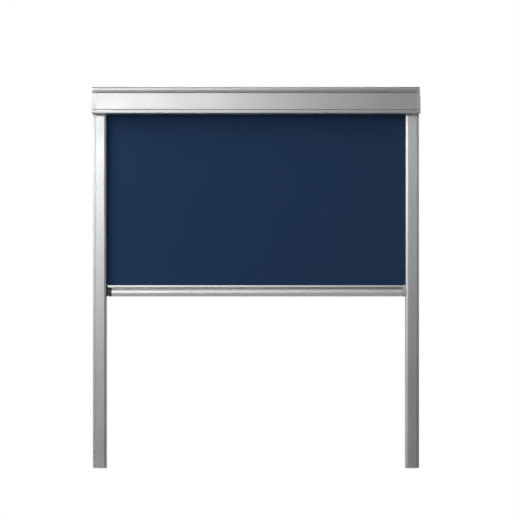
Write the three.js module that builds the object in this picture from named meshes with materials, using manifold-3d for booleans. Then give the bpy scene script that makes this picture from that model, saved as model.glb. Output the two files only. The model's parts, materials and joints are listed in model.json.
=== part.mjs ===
import * as THREE from 'three';
import { mergeVertices } from 'three/addons/utils/BufferGeometryUtils.js';
import Module from 'manifold-3d';

// A roller blind for a roof window: an aluminium header that holds a spring roller, two side
// channels that hold the cloth's edges, and a bottom bar that is moved by hand and stays where it
// is left. X runs across the window, -Y points into the room and +Z up. The origin is the middle
// of the header's back face. All lengths are in millimetres, and a depth is a distance in front
// of the flat backs that rest on the window.

// Overall sizes
const headerWidth = 660;
const sideLength = 714.7; // from the header's underside to the foot of a side channel
const barDrop = 344.8; // from the header's underside to the top of the bottom bar
const barSideShift = 1.8; // how far the bar sits to the right, within its side play

// Clearances
const seatGap = 0.3; // between pieces that rest in or slide past each other
const overrun = 2; // how far a cut runs past the face that it opens
const mergeDistance = 0.0001;
const cornerSteps = 3; // facets of a rounded corner

// Cloth
const clothThickness = 0.45;
const clothDepth = 10; // depth of the hanging cloth's middle
const clothEdge = 8.8; // how far each edge reaches past the channel's mouth
const windingGap = 0.15;
const spareCloth = 120; // what stays wound when the bar is all the way down
const windingSteps = 40; // facets in one turn of the wound cloth

// Header casing, listed from its underside upwards
const lowerLipHeight = 7.05;
const lowerGrooveHeight = 1.6;
const faceHeight = 31.7;
const upperGrooveHeight = 5.4;
const topBandHeight = 8.3;
const lipLean = 0.4; // how far the lower lip leans back at its foot
const lowerGrooveDepth = 1.2;
const faceBulge = 0.3;
const faceSteps = 4;
const upperGrooveDepth = 4;
const bandSetback = 0.8;
const crownDepth = 6;
const crownHeight = 4;
const crownSteps = 8;
const casingWall = 1.4;
const lipInnerRadius = 0.4;
const exitHalfWidth = 5.5; // from the cloth to each side of the slot that it leaves by
const rollClearance = 3.5; // between the full roll and the casing
const portRadius = 3.2; // screw ports, extruded with the casing
const portHoleRadius = 1.8;
const portInset = 4.3; // from the header's faces to the middle of a port
const upperPortSetback = 12; // from the top band's front to the middle of the upper port

// Back rail of the header and the two brackets that clip into its windows
const railWall = 1.5;
const railHookReach = 7.5;
const railHookWall = 1.2;
const railFootReach = 3;
const bracketWindowHeight = 30;
const bracketWindowWidth = 36;
const bracketInset = 70; // from the header's end to the middle of a bracket
const bracketWall = 1.2;
const bracketTongue = 5;
const bracketHoleRadius = 2.1;
const bracketSinkRadius = 3.6;
const bracketHoleSpacing = 18;

// End caps
const capThickness = 9;
const capPlate = 3;
const capRim = 3;
const capEdge = 1.2; // rounding of the outer edge
const capEdgeSteps = 3;
const capStepHeight = 34.9; // above here the cap's side is set in
const capStepInset = 1.3;
const capUpperGroove = 2.4; // depth of the cap's share of the header's grooves
const capLowerGroove = 1;
const capTabWall = 1.4;
const capTabLength = 8;
const capTabMargin = 3;
const capRib = 1.6;
const capRibTurnShares = [0.115, 0.375, 0.635, 0.865]; // directions, in turns about the roller's axis
const bossRadius = 8.5;
const screwTubeRadius = 4.2;
const pegLength = 12;
const pegDepth = 8;

// Screws that hold the caps
const screwHeadRadius = 2.6;
const screwHeadHeight = 1.8;
const screwCrown = 0.5;
const screwRadius = 1.5;
const screwBite = 12; // length inside the casing's port
const screwRecess = 0.6;

// Side channels
const channelWidth = 27.5;
const channelDepth = 20;
const channelWall = 1.4;
const shoulderWidth = 4.2;
const shoulderDepth = 14;
const shoulderSlope = 2;
const mouthSlopeWidth = 4.2; // the sloped side that faces the cloth
const mouthSlopeDepth = 1.2;
const mouthInset = 0.3; // how far the mouth's front edge stands back from its rear flange
const channelWebInset = 11.5; // from the outer side to the web between the two chambers
const mouthHalfWidth = 1.8;
const channelEdgeRadius = 0.8;
const tapeWidth = 12;
const tapeThickness = 0.6;
const tapeInset = 7;
const tapeEndInset = 15;
const footPlate = 2.4;
const footLegLength = 12;
const footStopHeight = 8;

// Bottom bar, heights from its underside
const barLipHeight = 4;
const barGrooveHeight = 3.6;
const gripHeight = 15.2;
const barBackSetback = 4.4; // from the cloth to the bar's back
const barLipReach = 5;
const barGrooveReach = 2.2;
const gripReach = 11;
const gripTopReach = 5.5;
const gripFootReach = 4.5;
const gripNoseHeight = 8.2;
const gripSteps = 8;
const barWall = 1.3;
const barBackRadius = 1;
const hemSlotHalfWidth = 0.7;
const hemPocketRadius = 2.9;
const hemPocketHeight = 11.4;
const gripEndGap = 9.2; // from the end of the grip to the channel, without the side shift
const lipOverhangLeft = 8.2; // how far the lip runs on past the grip
const lipOverhangRight = 5.9;

// Moulded ends of the bar, with their spring-loaded brake shoes
const bladeHalfThickness = 1.5;
const bladeFoot = 0.5;
const sliderWidth = 6;
const endNotchHeight = 5;
const endNotchHalfWidth = 0.8;
const endCornerHeight = 3;
const endCornerWidth = 1.2;
const endSpigotLength = 12;
const brakePocketRadius = 3;
const brakePocketDepth = 4.5;
const brakeShoeWall = 1.4;
const brakeShoeHalfDepth = 4;
const brakeShoeHeight = 14;
const brakeStemRadius = 1.8;
const brakeStemLength = 2.2;
const brakeWireRadius = 0.3;
const brakeSpringTurns = 5;

// Roller
const tubeRadius = 12.5;
const tubeWall = 1;
const tubeFacets = 52;
const keywayInset = 2.3; // from the tube's surface to the middle of its keyway
const keywayPocketRadius = 1.6;
const keywayWall = 0.9;
const keywaySlotHalfWidth = 0.6;
const plugFlange = 2;
const plugEndGap = 1.2;
const plugBodyLength = 18;
const idlePinRadius = 2.5;
const idlePinReach = 15; // length of the pin inside the roller
const bushWall = 2;
const bushLength = 6;
const turnedFacets = 32;
const smallFacets = 16;

// Torsion spring of the roller, and the arbor that holds its fixed end
const arborRadius = 4.1;
const arborShaftRadius = 2.8;
const arborTangWidth = 8;
const arborTangThickness = 4;
const arborLength = 250;
const springHubRadius = 5.2;
const springHubLength = 18;
const springWireRadius = 0.7;
const springTurns = 26;
const springStepsPerTurn = 10;
const springSides = 5;
const driveHubLength = 16;

// Sizes worked out from the ones above
const openingWidth = headerWidth - 2 * channelWidth;
const headerHeight = lowerLipHeight + lowerGrooveHeight + faceHeight + upperGrooveHeight + topBandHeight;
const barHeight = gripHeight + barGrooveHeight + barLipHeight;
const footTop = footPlate + seatGap + footStopHeight;
const travelDown = sideLength - barDrop - barHeight + bladeFoot - footTop - seatGap;
const travelUp = barDrop - seatGap;
const windingPitch = clothThickness + windingGap;
const windingStart = tubeRadius + windingGap;
const woundLength = spareCloth + travelDown;

// Radius of the innermost face of the outer turn, for a length of wound cloth.
function windingRadius(length) {
  return Math.sqrt(windingStart ** 2 + (length * windingPitch) / Math.PI);
}

const rollRadius = windingRadius(woundLength) + clothThickness;
const fullRollRadius = windingRadius(woundLength + travelUp) + clothThickness;
const rollerDepth = clothDepth + clothThickness / 2 + seatGap + rollRadius;
const rollerHeight = headerHeight / 2; // above the header's underside
const headerDepth = rollerDepth + fullRollRadius + rollClearance + casingWall;
const faceEdge = headerDepth - faceBulge;
const bandDepth = faceEdge - bandSetback;
const capInner = -headerWidth / 2 + capThickness; // x of the left cap's inner face
const casingEnd = capInner + seatGap;
const tubeEnd = capInner + plugEndGap + plugFlange;
const ports = [
  { name: 'lower', depth: faceEdge - portInset, height: portInset, inset: 0 },
  { name: 'upper', depth: bandDepth - upperPortSetback, height: headerHeight - portInset, inset: capStepInset },
];

// Finishes
const finish = (color, roughness, metalness) => ({ color, roughness, metalness });
const aluminium = finish(0xc9cbce, 0.38, 0.85);
const steel = finish(0x9a9da1, 0.35, 1);
const springSteel = finish(0x6f7276, 0.3, 1);
const greyPlastic = finish(0xb4b6b8, 0.5, 0);
const charcoalPlastic = finish(0x343436, 0.55, 0);
const whitePlastic = finish(0xe4e4e0, 0.5, 0);
const bronze = finish(0xa8824a, 0.4, 0.9);
const navyCloth = finish(0x1f304a, 0.9, 0);
const foamTape = finish(0x2a2b2d, 0.9, 0);
const rubber = finish(0x242426, 0.85, 0);

const wasm = await Module();
wasm.setup();

// A closed geometry as a solid that can be cut and joined.
function solidOf(geometry) {
  const bare = geometry.clone();
  bare.deleteAttribute('normal');
  bare.deleteAttribute('uv');
  const merged = mergeVertices(bare, mergeDistance);
  const corners = merged.index.array;
  const triangles = [];
  for (let i = 0; i < corners.length; i += 3) {
    const [a, b, c] = corners.slice(i, i + 3);
    if (a !== b && b !== c && c !== a) triangles.push(a, b, c);
  }
  const vertProperties = merged.attributes.position.array;
  const triVerts = new Uint32Array(triangles);
  return new wasm.Manifold(new wasm.Mesh({ numProp: 3, vertProperties, triVerts }));
}

function geometryOf(solid) {
  const mesh = solid.getMesh();
  const geometry = new THREE.BufferGeometry();
  geometry.setAttribute('position', new THREE.BufferAttribute(mesh.vertProperties, mesh.numProp));
  geometry.setIndex(new THREE.BufferAttribute(mesh.triVerts, 1));
  return geometry;
}

function piece(name, shape, look) {
  const geometry = shape.isBufferGeometry ? shape : geometryOf(shape);
  const mesh = new THREE.Mesh(geometry, new THREE.MeshStandardMaterial(look));
  mesh.name = name;
  return mesh;
}

// Outlines are lists of points in two named directions. A corner may have a radius.
const point = (u, v) => new THREE.Vector2(u, v);
const corner = (u, v, radius = 0) => ({ at: point(u, v), radius });

function roundedCorner(before, { at, radius }, after) {
  if (radius === 0) return [at.clone()];
  const back = before.at.clone().sub(at).normalize();
  const on = after.at.clone().sub(at).normalize();
  const half = Math.acos(back.dot(on)) / 2;
  const centre = back.clone().add(on).setLength(radius / Math.sin(half)).add(at);
  const reach = radius / Math.tan(half);
  const first = back.multiplyScalar(reach).add(at).sub(centre).angle();
  const last = on.multiplyScalar(reach).add(at).sub(centre).angle();
  const turn = 2 * Math.PI;
  const sweep = ((last - first + turn + Math.PI) % turn) - Math.PI;
  return Array.from({ length: cornerSteps + 1 }, (_, step) => {
    const angle = first + (sweep * step) / cornerSteps;
    return point(Math.cos(angle), Math.sin(angle)).multiplyScalar(radius).add(centre);
  });
}

function rounded(corners) {
  return corners.flatMap((here, i) => {
    return roundedCorner(corners.at(i - 1), here, corners[(i + 1) % corners.length]);
  });
}

// The points of a path moved to its left by a distance. An outline is a closed path.
function offset(points, distance, closed = true) {
  return points.map((here, i) => {
    const isStart = !closed && i === 0;
    const isEnd = !closed && i === points.length - 1;
    const before = isStart ? here : points.at(i - 1);
    const after = isEnd ? here : points[(i + 1) % points.length];
    const into = (isStart ? after.clone().sub(here) : here.clone().sub(before)).normalize();
    const out = (isEnd ? into.clone() : after.clone().sub(here)).normalize();
    const left = point(-into.y - out.y, into.x + out.x);
    return left.multiplyScalar(distance / (1 + into.dot(out))).add(here);
  });
}

// A wall of even thickness on the left of an open path.
const walled = (path, wall) => [...path, ...offset(path, wall, false).reverse()];

function ellipse(centre, width, height, fromTurn, toTurn, steps) {
  return Array.from({ length: steps + 1 }, (_, step) => {
    const angle = 2 * Math.PI * (fromTurn + ((toTurn - fromTurn) * step) / steps);
    return point(centre.x + width * Math.cos(angle), centre.y + height * Math.sin(angle));
  });
}

const circle = (centre, radius, facets) => ellipse(centre, radius, radius, 0, 1, facets).slice(1);

const rectangle = (u0, v0, u1, v1) => [point(u0, v0), point(u1, v0), point(u1, v1), point(u0, v1)];

const mapped = (outline, map) => new THREE.Shape(outline.map(map));
const alongX = new THREE.Matrix4().makeBasis(
  new THREE.Vector3(0, 1, 0),
  new THREE.Vector3(0, 0, 1),
  new THREE.Vector3(1, 0, 0),
);
const alongDepth = new THREE.Matrix4().makeBasis(
  new THREE.Vector3(1, 0, 0),
  new THREE.Vector3(0, 0, 1),
  new THREE.Vector3(0, -1, 0),
);

function extruded(shape, from, to) {
  const geometry = new THREE.ExtrudeGeometry(shape, { depth: to - from, bevelEnabled: false });
  return geometry.translate(0, 0, from);
}

// An outline of depths and heights, drawn out along X.
function across(outline, from, to) {
  return extruded(mapped(outline, ({ x, y }) => point(-x, y)), from, to).applyMatrix4(alongX);
}

// An outline of x and depth, drawn out upwards.
function upward(outline, from, to) {
  return extruded(mapped(outline, ({ x, y }) => point(x, -y)), from, to);
}

// An outline of x and height, drawn out from one depth to another.
function forward(outline, from, to) {
  return extruded(mapped(outline, ({ x, y }) => point(x, y)), from, to).applyMatrix4(alongDepth);
}

// A body turned about X. Its profile is a list of places along X with their radii, from left to
// right along the outside, and back along the bore if there is one.
function turned(profile, facets) {
  const points = profile.map(([along, radius]) => point(radius, along));
  return new THREE.LatheGeometry(points, facets).rotateZ(-Math.PI / 2);
}

const ring = (from, to, outer, inner) => [
  [from, outer],
  [to, outer],
  [to, inner],
  [from, inner],
  [from, outer],
];

class Helix extends THREE.Curve {
  constructor(radius, from, to, turns) {
    super();
    Object.assign(this, { radius, from, to, turns });
  }

  getPoint(t, target = new THREE.Vector3()) {
    const angle = 2 * Math.PI * this.turns * t;
    const along = this.from + (this.to - this.from) * t;
    return target.set(along, this.radius * Math.cos(angle), this.radius * Math.sin(angle));
  }
}

function coil(radius, wire, from, to, turns) {
  const section = new THREE.Shape(circle(point(0, 0), wire, springSides));
  return new THREE.ExtrudeGeometry(section, {
    steps: turns * springStepsPerTurn,
    extrudePath: new Helix(radius, from + wire, to - wire, turns),
  });
}

// Header: the outer line of its section, from the exit slot under the bottom, up the front and
// over the crown to the back. A groove has a flat floor and an upper wall that slopes outwards.
function frontPath({ start, end, grooves, lipRadius }) {
  const lipTop = lowerLipHeight;
  const faceFoot = lipTop + lowerGrooveHeight;
  const faceTop = faceFoot + faceHeight;
  const bandFoot = faceTop + upperGrooveHeight;
  const foot = corner(faceEdge - lipLean, 0, lipRadius);
  const lipEdge = corner(faceEdge, lipTop);
  const face = Array.from({ length: faceSteps + 1 }, (_, step) => {
    const share = (2 * step) / faceSteps - 1;
    return point(faceEdge + faceBulge * (1 - share ** 2), faceFoot + (faceHeight * step) / faceSteps);
  });
  const crownCentre = point(bandDepth - crownDepth, headerHeight - crownHeight);
  return [
    point(start, 0),
    ...roundedCorner(corner(start, 0), foot, lipEdge),
    lipEdge.at,
    ...(grooves ? [point(faceEdge - lowerGrooveDepth, lipTop)] : []),
    ...face,
    ...(grooves ? [point(faceEdge - upperGrooveDepth, faceTop)] : []),
    point(bandDepth, bandFoot),
    ...ellipse(crownCentre, crownDepth, crownHeight, 0, 1 / 4, crownSteps),
    point(end, headerHeight),
  ];
}

function headerCasing() {
  const path = frontPath({
    start: clothDepth + exitHalfWidth,
    end: railWall + seatGap,
    grooves: true,
    lipRadius: casingWall + lipInnerRadius,
  });
  let casing = solidOf(across(walled(path, casingWall), casingEnd, -casingEnd));
  const cavity = capOutline(0, casingWall / 2);
  const inside = solidOf(across(cavity, casingEnd, -casingEnd));
  for (const { depth, height } of ports) {
    const wall = solidOf(across(circle(point(depth, height), portRadius, smallFacets), casingEnd, -casingEnd));
    casing = casing.add(wall.intersect(inside));
  }
  for (const { depth, height } of ports) {
    const hole = circle(point(depth, height), portHoleRadius, smallFacets);
    casing = casing.subtract(solidOf(across(hole, casingEnd - overrun, -casingEnd + overrun)));
  }
  return casing;
}

function backRail() {
  const hookTop = headerHeight - casingWall - seatGap;
  const hookFoot = hookTop - railHookWall;
  const section = [
    point(0, 0),
    point(railWall + railFootReach, 0),
    point(railWall + railFootReach, railHookWall),
    point(railWall, railHookWall),
    point(railWall, hookFoot),
    point(railWall + railHookReach, hookFoot),
    point(railWall + railHookReach, hookTop),
    point(railWall, hookTop),
    point(railWall, headerHeight),
    point(0, headerHeight),
  ];
  let rail = solidOf(across(section, casingEnd, -casingEnd));
  for (const side of [-1, 1]) {
    const middle = side * (headerWidth / 2 - bracketInset);
    const opening = rectangle(
      middle - bracketWindowWidth / 2,
      rollerHeight - bracketWindowHeight / 2,
      middle + bracketWindowWidth / 2,
      rollerHeight + bracketWindowHeight / 2,
    );
    rail = rail.subtract(solidOf(forward(opening, -overrun, railWall + overrun)));
  }
  return rail;
}

// A pressed steel clip: its plate lies in the rail's window against the window frame, and its two
// tongues reach over the rail's edges.
function bracket() {
  const half = bracketWindowHeight / 2 - seatGap;
  const front = railWall + seatGap;
  const width = bracketWindowWidth - 2 * seatGap;
  const middle = -headerWidth / 2 + bracketInset;
  const halfOutline = [
    point(front, half),
    point(front, half + bracketTongue),
    point(front + bracketWall, half + bracketTongue),
    point(front + bracketWall, half - bracketWall),
    point(bracketWall, half - bracketWall),
  ];
  const lowerOutline = halfOutline.map(({ x, y }) => point(x, -y)).reverse();
  const outline = [point(0, half), ...halfOutline, ...lowerOutline, point(0, -half)];
  const placed = outline.map(({ x, y }) => point(x, y + rollerHeight));
  let clip = solidOf(across(placed, middle - width / 2, middle + width / 2));
  for (const side of [-1, 1]) {
    const along = middle + (side * bracketHoleSpacing) / 2;
    const depth = bracketWall + 2 * overrun;
    const hole = new THREE.CylinderGeometry(bracketHoleRadius, bracketHoleRadius, depth, smallFacets);
    const sink = new THREE.CylinderGeometry(bracketHoleRadius, bracketSinkRadius, bracketWall, smallFacets);
    clip = clip.subtract(solidOf(hole.translate(along, -bracketWall / 2, rollerHeight)));
    clip = clip.subtract(solidOf(sink.translate(along, -bracketWall / 2, rollerHeight)));
  }
  return clip;
}

// The whole section of the header as one closed outline, moved in by a distance.
function capOutline(lipRadius, inset = 0) {
  const path = frontPath({ start: 0, end: 0, grooves: false, lipRadius });
  return offset(path, inset);
}

function bevelledCap(outer) {
  const shape = mapped(capOutline(casingWall + lipInnerRadius), ({ x, y }) => point(-x, y));
  const geometry = new THREE.ExtrudeGeometry(shape, {
    depth: capThickness,
    bevelThickness: capEdge,
    bevelSize: capEdge,
    bevelOffset: -capEdge,
    bevelSegments: capEdgeSteps,
  });
  geometry.translate(0, 0, outer + capEdge).applyMatrix4(alongX);
  const spare = rectangle(-overrun, -overrun, headerDepth + overrun, headerHeight + overrun);
  const beyond = outer + capThickness + 2 * capEdge + overrun;
  return solidOf(geometry).subtract(solidOf(across(spare, capInner, beyond)));
}

// What a groove takes away: its floor runs straight in, and its upper wall slopes out to an edge.
function grooveCut(inner, floor, edge, top) {
  const front = headerDepth + overrun;
  return [point(inner, floor), point(front, floor), point(front, top), point(edge, top)];
}

// The cap's block, with its upper part set in and the header's grooves run on across it.
function capBlock(outer) {
  const faceFoot = lowerLipHeight + lowerGrooveHeight;
  const faceTop = faceFoot + faceHeight;
  const bandFoot = faceTop + upperGrooveHeight;
  const front = headerDepth + overrun;
  const upperHalf = rectangle(outer - overrun, capStepHeight, capInner + overrun, headerHeight + overrun);
  const upper = solidOf(forward(upperHalf, -overrun, front));
  const setIn = bevelledCap(outer + capStepInset).intersect(upper);
  const block = bevelledCap(outer).subtract(upper).add(setIn);
  return [
    grooveCut(faceEdge - capLowerGroove, lowerLipHeight, faceEdge, faceFoot),
    grooveCut(faceEdge - capUpperGroove, faceTop, bandDepth, bandFoot),
  ].reduce((cut, groove) => cut.subtract(solidOf(across(groove, outer - overrun, capInner + overrun))), block);
}

// The tongues of a cap that reach into the casing and lie against its walls.
function capTabs() {
  const from = -headerWidth / 2 + capPlate / 2;
  const to = capInner + capTabLength;
  const top = headerHeight - casingWall - seatGap;
  const topStart = railWall + railHookReach + capTabMargin;
  const topEnd = ports[1].depth - portRadius - capTabMargin;
  const faceFoot = lowerLipHeight + lowerGrooveHeight + casingWall + capTabMargin;
  const faceTop = faceFoot + faceHeight - 2 * (casingWall + capTabMargin);
  const face = offset(capOutline(0), casingWall + seatGap);
  const within = face.filter(({ x, y }) => x > rollerDepth && y > faceFoot && y < faceTop);
  const rear = railWall + seatGap;
  const middle = rollerHeight - bracketWindowHeight / 2;
  return [
    rectangle(topStart, top - capTabWall, topEnd, top),
    walled(within, capTabWall),
    rectangle(rear, middle, rear + capTabWall, middle + bracketWindowHeight),
  ].map((outline) => solidOf(across(outline, from, to)));
}

// A moulded end cap: a dish with a boss for the roller, ribs, tubes for its screws, tongues that
// enter the casing and a peg that plugs into the side channel. Its seat is the cut that holds the
// roller's arbor or bush.
function endCap(seat) {
  const outer = -headerWidth / 2;
  const axis = point(rollerDepth, rollerHeight);
  const hollow = solidOf(across(capOutline(0, capRim), outer + capPlate, capInner + overrun));
  const within = solidOf(across(capOutline(0, capRim / 2), outer + capPlate / 2, capInner));
  let cap = capBlock(outer).subtract(hollow);
  for (const turn of capRibTurnShares) {
    const direction = point(headerDepth, 0).rotateAround(point(0, 0), 2 * Math.PI * turn);
    const sideways = point(-direction.y, direction.x).setLength(capRib / 2);
    const far = axis.clone().add(direction);
    const outline = [
      axis.clone().sub(sideways),
      far.clone().sub(sideways),
      far.clone().add(sideways),
      axis.clone().add(sideways),
    ];
    cap = cap.add(solidOf(across(outline, outer + capPlate / 2, capInner)).intersect(within));
  }
  cap = cap.add(solidOf(across(circle(axis, bossRadius, turnedFacets), outer + capPlate / 2, capInner)));
  for (const { depth, height } of ports) {
    const tube = circle(point(depth, height), screwTubeRadius, smallFacets);
    cap = cap.add(solidOf(across(tube, outer + capPlate / 2, capInner)).intersect(within));
  }
  for (const tab of capTabs()) cap = cap.add(tab);
  const peg = rectangle(
    outer + channelWall + seatGap,
    channelWall + seatGap,
    capInner - seatGap,
    channelWall + seatGap + pegDepth,
  );
  cap = cap.add(solidOf(upward(peg, -pegLength, capRim / 2)));
  for (const { depth, height, inset } of ports) {
    const hole = circle(point(depth, height), portHoleRadius, smallFacets);
    const head = circle(point(depth, height), screwHeadRadius + seatGap, smallFacets);
    const headSeat = outer + inset + screwRecess + screwHeadHeight + seatGap;
    cap = cap.subtract(solidOf(across(hole, outer - overrun, capInner + overrun)));
    cap = cap.subtract(solidOf(across(head, outer - overrun, headSeat)));
  }
  return cap.subtract(solidOf(seat));
}

function capScrew({ depth, height, inset }) {
  const head = -headerWidth / 2 + inset + screwRecess;
  const neck = head + screwHeadHeight;
  const tip = capInner + screwBite;
  const profile = [
    [head, 0],
    [head, screwHeadRadius / 2],
    [head + screwCrown, screwHeadRadius],
    [neck, screwHeadRadius],
    [neck, screwRadius],
    [tip - screwRadius, screwRadius],
    [tip, 0],
  ];
  return turned(profile, smallFacets).translate(0, -depth, height);
}

function headerEnd(side) {
  const group = new THREE.Group();
  const axis = point(rollerDepth, rollerHeight);
  const seatStart = -headerWidth / 2 + capPlate;
  const bushRadius = idlePinRadius + bushWall;
  const socket = rectangle(
    axis.x - arborTangWidth / 2 - seatGap,
    axis.y - arborTangThickness / 2 - seatGap,
    axis.x + arborTangWidth / 2 + seatGap,
    axis.y + arborTangThickness / 2 + seatGap,
  );
  const seats = { left: socket, right: circle(axis, bushRadius + seatGap, turnedFacets) };
  const cap = endCap(across(seats[side], seatStart, capInner + overrun));
  group.add(piece(`${side}_end_cap`, cap, aluminium));
  for (const port of ports) group.add(piece(`${side}_cap_screw_${port.name}`, capScrew(port), steel));
  group.add(piece(`${side}_bracket`, bracket(), steel));
  if (side === 'right') {
    const from = seatStart + seatGap;
    const bush = turned(ring(from, from + bushLength, bushRadius, idlePinRadius + seatGap), turnedFacets);
    group.add(piece('bearing_bush', bush.translate(0, -rollerDepth, rollerHeight), bronze));
  }
  group.scale.x = side === 'right' ? -1 : 1;
  return group;
}

function header() {
  const group = new THREE.Group();
  group.add(piece('header_casing', headerCasing(), aluminium));
  group.add(piece('header_back_rail', backRail(), aluminium));
  group.add(headerEnd('left'), headerEnd('right'));
  group.position.z = -headerHeight / 2;
  return group;
}

// Roller: everything below is built about its own axis, and the group is set on that axis. The
// tube and what fits its keyway are built with the keyway on top, and turned to the wound cloth's
// inner end.
const windingTurns = (windingRadius(woundLength) - windingStart) / windingPitch;
const innerEndAngle = Math.PI - 2 * Math.PI * windingTurns;
const keywayCentre = point(0, tubeRadius - keywayInset);

function rollerTube() {
  const end = tubeEnd;
  const outside = circle(point(0, 0), tubeRadius, tubeFacets);
  const bore = circle(point(0, 0), tubeRadius - tubeWall, tubeFacets);
  const keyway = circle(keywayCentre, keywayPocketRadius + keywayWall, smallFacets);
  const pocket = circle(keywayCentre, keywayPocketRadius, smallFacets);
  const slot = rectangle(-keywaySlotHalfWidth, keywayCentre.y, keywaySlotHalfWidth, tubeRadius + overrun);
  const body = solidOf(across(outside, end, -end));
  const wall = body.subtract(solidOf(across(bore, end - overrun, -end + overrun)));
  const port = solidOf(across(keyway, end, -end)).intersect(body);
  let tube = wall.add(port);
  for (const cut of [pocket, slot]) tube = tube.subtract(solidOf(across(cut, end - overrun, -end + overrun)));
  return tube;
}

// A part that fits the tube's bore, with a flute that clears the tube's keyway.
function fitted(profile) {
  const flute = circle(keywayCentre, keywayPocketRadius + keywayWall + seatGap, smallFacets);
  const inside = profile.filter(([, radius]) => radius < tubeRadius);
  const places = inside.map(([along]) => along);
  const from = Math.min(...places);
  const to = Math.max(...places);
  return solidOf(turned(profile, tubeFacets)).subtract(solidOf(across(flute, from, to)));
}

const plugRadius = tubeRadius - tubeWall - seatGap;

function springEndPlug() {
  const inner = tubeEnd + plugBodyLength;
  const bore = arborRadius + seatGap;
  const flange = solidOf(turned(ring(tubeEnd - plugFlange, tubeEnd - seatGap, tubeRadius, bore), tubeFacets));
  return flange.add(fitted(ring(tubeEnd - plugFlange / 2, inner, plugRadius, bore)));
}

function idlePlug() {
  const start = -tubeEnd;
  const bore = idlePinRadius + seatGap;
  const flange = solidOf(turned(ring(start + seatGap, start + plugFlange, tubeRadius, bore), tubeFacets));
  return flange.add(fitted(ring(start - plugBodyLength, start + plugFlange / 2, plugRadius, bore)));
}

function idlePin() {
  const from = -tubeEnd - idlePinReach;
  const to = -capInner + bushLength - seatGap;
  const profile = [
    [from, 0],
    [from, idlePinRadius],
    [to - idlePinRadius / 2, idlePinRadius],
    [to, idlePinRadius / 2],
    [to, 0],
  ];
  return turned(profile, turnedFacets);
}

const arborHubStart = tubeEnd + plugBodyLength + seatGap;
const arborEnd = capInner + arborLength;
const driveHubEnd = arborEnd + driveHubLength / 2;
const driveHubStart = driveHubEnd - driveHubLength;

// The arbor stands still: its flat tang sits in the left cap, the roller's left plug turns on its
// journal, the spring's fixed end grips its hub, and the drive hub turns on its slim shaft.
function springArbor() {
  const journalEnd = arborHubStart;
  const hubEnd = arborHubStart + springHubLength;
  const start = capInner + seatGap;
  const profile = [
    [start, 0],
    [start, arborRadius],
    [journalEnd, arborRadius],
    [journalEnd, springHubRadius],
    [hubEnd, springHubRadius],
    [hubEnd, arborShaftRadius],
    [arborEnd, arborShaftRadius],
    [arborEnd, 0],
  ];
  const tang = rectangle(
    -arborTangWidth / 2,
    -arborTangThickness / 2,
    arborTangWidth / 2,
    arborTangThickness / 2,
  );
  const tangStart = -headerWidth / 2 + capPlate + seatGap;
  const body = solidOf(turned(profile, turnedFacets));
  return body.add(solidOf(across(tang, tangStart, start + seatGap)));
}

function driveHub() {
  const bore = arborShaftRadius + seatGap;
  const neckStart = driveHubStart - springHubLength;
  const neck = turned(ring(neckStart, driveHubStart + overrun, springHubRadius, bore), turnedFacets);
  return fitted(ring(driveHubStart, driveHubEnd, plugRadius, bore)).add(solidOf(neck));
}

function rollerSpring() {
  const radius = springHubRadius + seatGap + springWireRadius;
  return coil(radius, springWireRadius, arborHubStart + seatGap, driveHubStart - seatGap, springTurns);
}

// The wound cloth is one spiral sheet. Its outer end lies at the back, where the hanging cloth
// leaves the roll, and its inner end is tucked into the tube's keyway.
function clothRoll() {
  const steps = Math.round(windingTurns * windingSteps);
  const face = (rise) => Array.from({ length: steps + 1 }, (_, step) => {
    const wound = (windingTurns * step) / steps;
    const angle = innerEndAngle + 2 * Math.PI * wound;
    return point(Math.cos(angle), Math.sin(angle)).multiplyScalar(windingStart + windingPitch * wound + rise);
  });
  const outline = [...face(0), ...face(clothThickness).reverse()];
  const tuck = rectangle(
    keywayCentre.y + keywayPocketRadius,
    -clothThickness / 2,
    windingStart + clothThickness,
    clothThickness / 2,
  );
  const turnedTuck = tuck.map((at) => at.rotateAround(point(0, 0), innerEndAngle));
  const [sheet, end] = [outline, turnedTuck].map((part) => {
    return solidOf(across(part, -clothWidth / 2, clothWidth / 2));
  });
  return sheet.add(end);
}

const clothWidth = openingWidth + 2 * clothEdge;

function roller() {
  const group = new THREE.Group();
  const tube = new THREE.Group();
  const spline = circle(keywayCentre, keywayPocketRadius - seatGap, smallFacets);
  tube.add(piece('roller_tube', rollerTube(), aluminium));
  tube.add(piece('tube_spline', across(spline, -clothWidth / 2, clothWidth / 2), whitePlastic));
  tube.add(piece('spring_end_plug', springEndPlug(), greyPlastic));
  tube.add(piece('idle_end_plug', idlePlug(), greyPlastic));
  tube.add(piece('drive_hub', driveHub(), whitePlastic));
  tube.rotation.x = Math.PI / 2 - innerEndAngle;
  group.add(tube);
  group.add(piece('cloth_roll', clothRoll(), navyCloth));
  group.add(piece('idle_pin', idlePin(), steel));
  group.add(piece('spring_arbor', springArbor(), whitePlastic));
  group.add(piece('roller_spring', rollerSpring(), springSteel));
  group.position.set(0, -rollerDepth, 0);
  return group;
}

// Side channels: both are built as the left one, and the right one is its mirror image.
const channelOuter = -headerWidth / 2;
const channelMouth = channelOuter + channelWidth;
const mouthFront = channelMouth - mouthInset;

function channelCorners() {
  const shoulderEnd = channelOuter + shoulderWidth;
  return [
    corner(channelOuter, 0),
    corner(mouthFront, 0),
    corner(mouthFront, channelDepth - mouthSlopeDepth, channelEdgeRadius),
    corner(mouthFront - mouthSlopeWidth, channelDepth, channelEdgeRadius),
    corner(shoulderEnd + shoulderSlope, channelDepth, channelEdgeRadius),
    corner(shoulderEnd, shoulderDepth),
    corner(channelOuter, shoulderDepth, channelEdgeRadius),
  ];
}

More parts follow.
